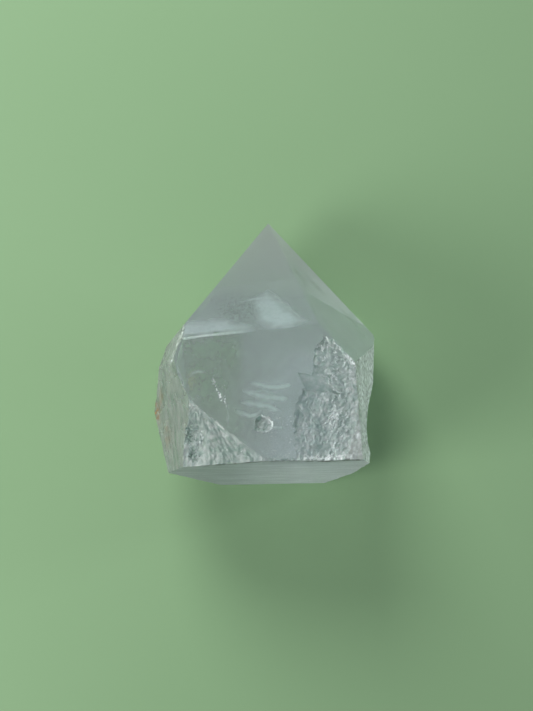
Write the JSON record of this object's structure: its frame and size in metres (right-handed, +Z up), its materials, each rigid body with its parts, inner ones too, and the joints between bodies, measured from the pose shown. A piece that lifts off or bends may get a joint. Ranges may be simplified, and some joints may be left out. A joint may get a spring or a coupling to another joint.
{
  "type": "clear quartz point",
  "caption": "Clear quartz crystal lying on its back, with a polished six-sided tip, rough broken sides and a flat sawn base.",
  "frame": {"origin": "under the middle of the crystal's bounding box, on the surface it rests on", "axes": "+Y from the sawn base towards the tip, +X across the crystal to the right when seen from above with the tip pointing away, +Z up from the resting face"},
  "size_m": [0.0542, 0.0656, 0.038],
  "materials": {
    "quartz": "clear, polished on the tip and the upper face, frosted on the breaks and the sawn base",
    "inclusion": "milky veils and healed fractures sealed inside the crystal",
    "iron_stain": "matte rust-brown stain"
  },
  "bodies": {
    "root": {"crystal": "quartz"}
  },
  "joints": []
}
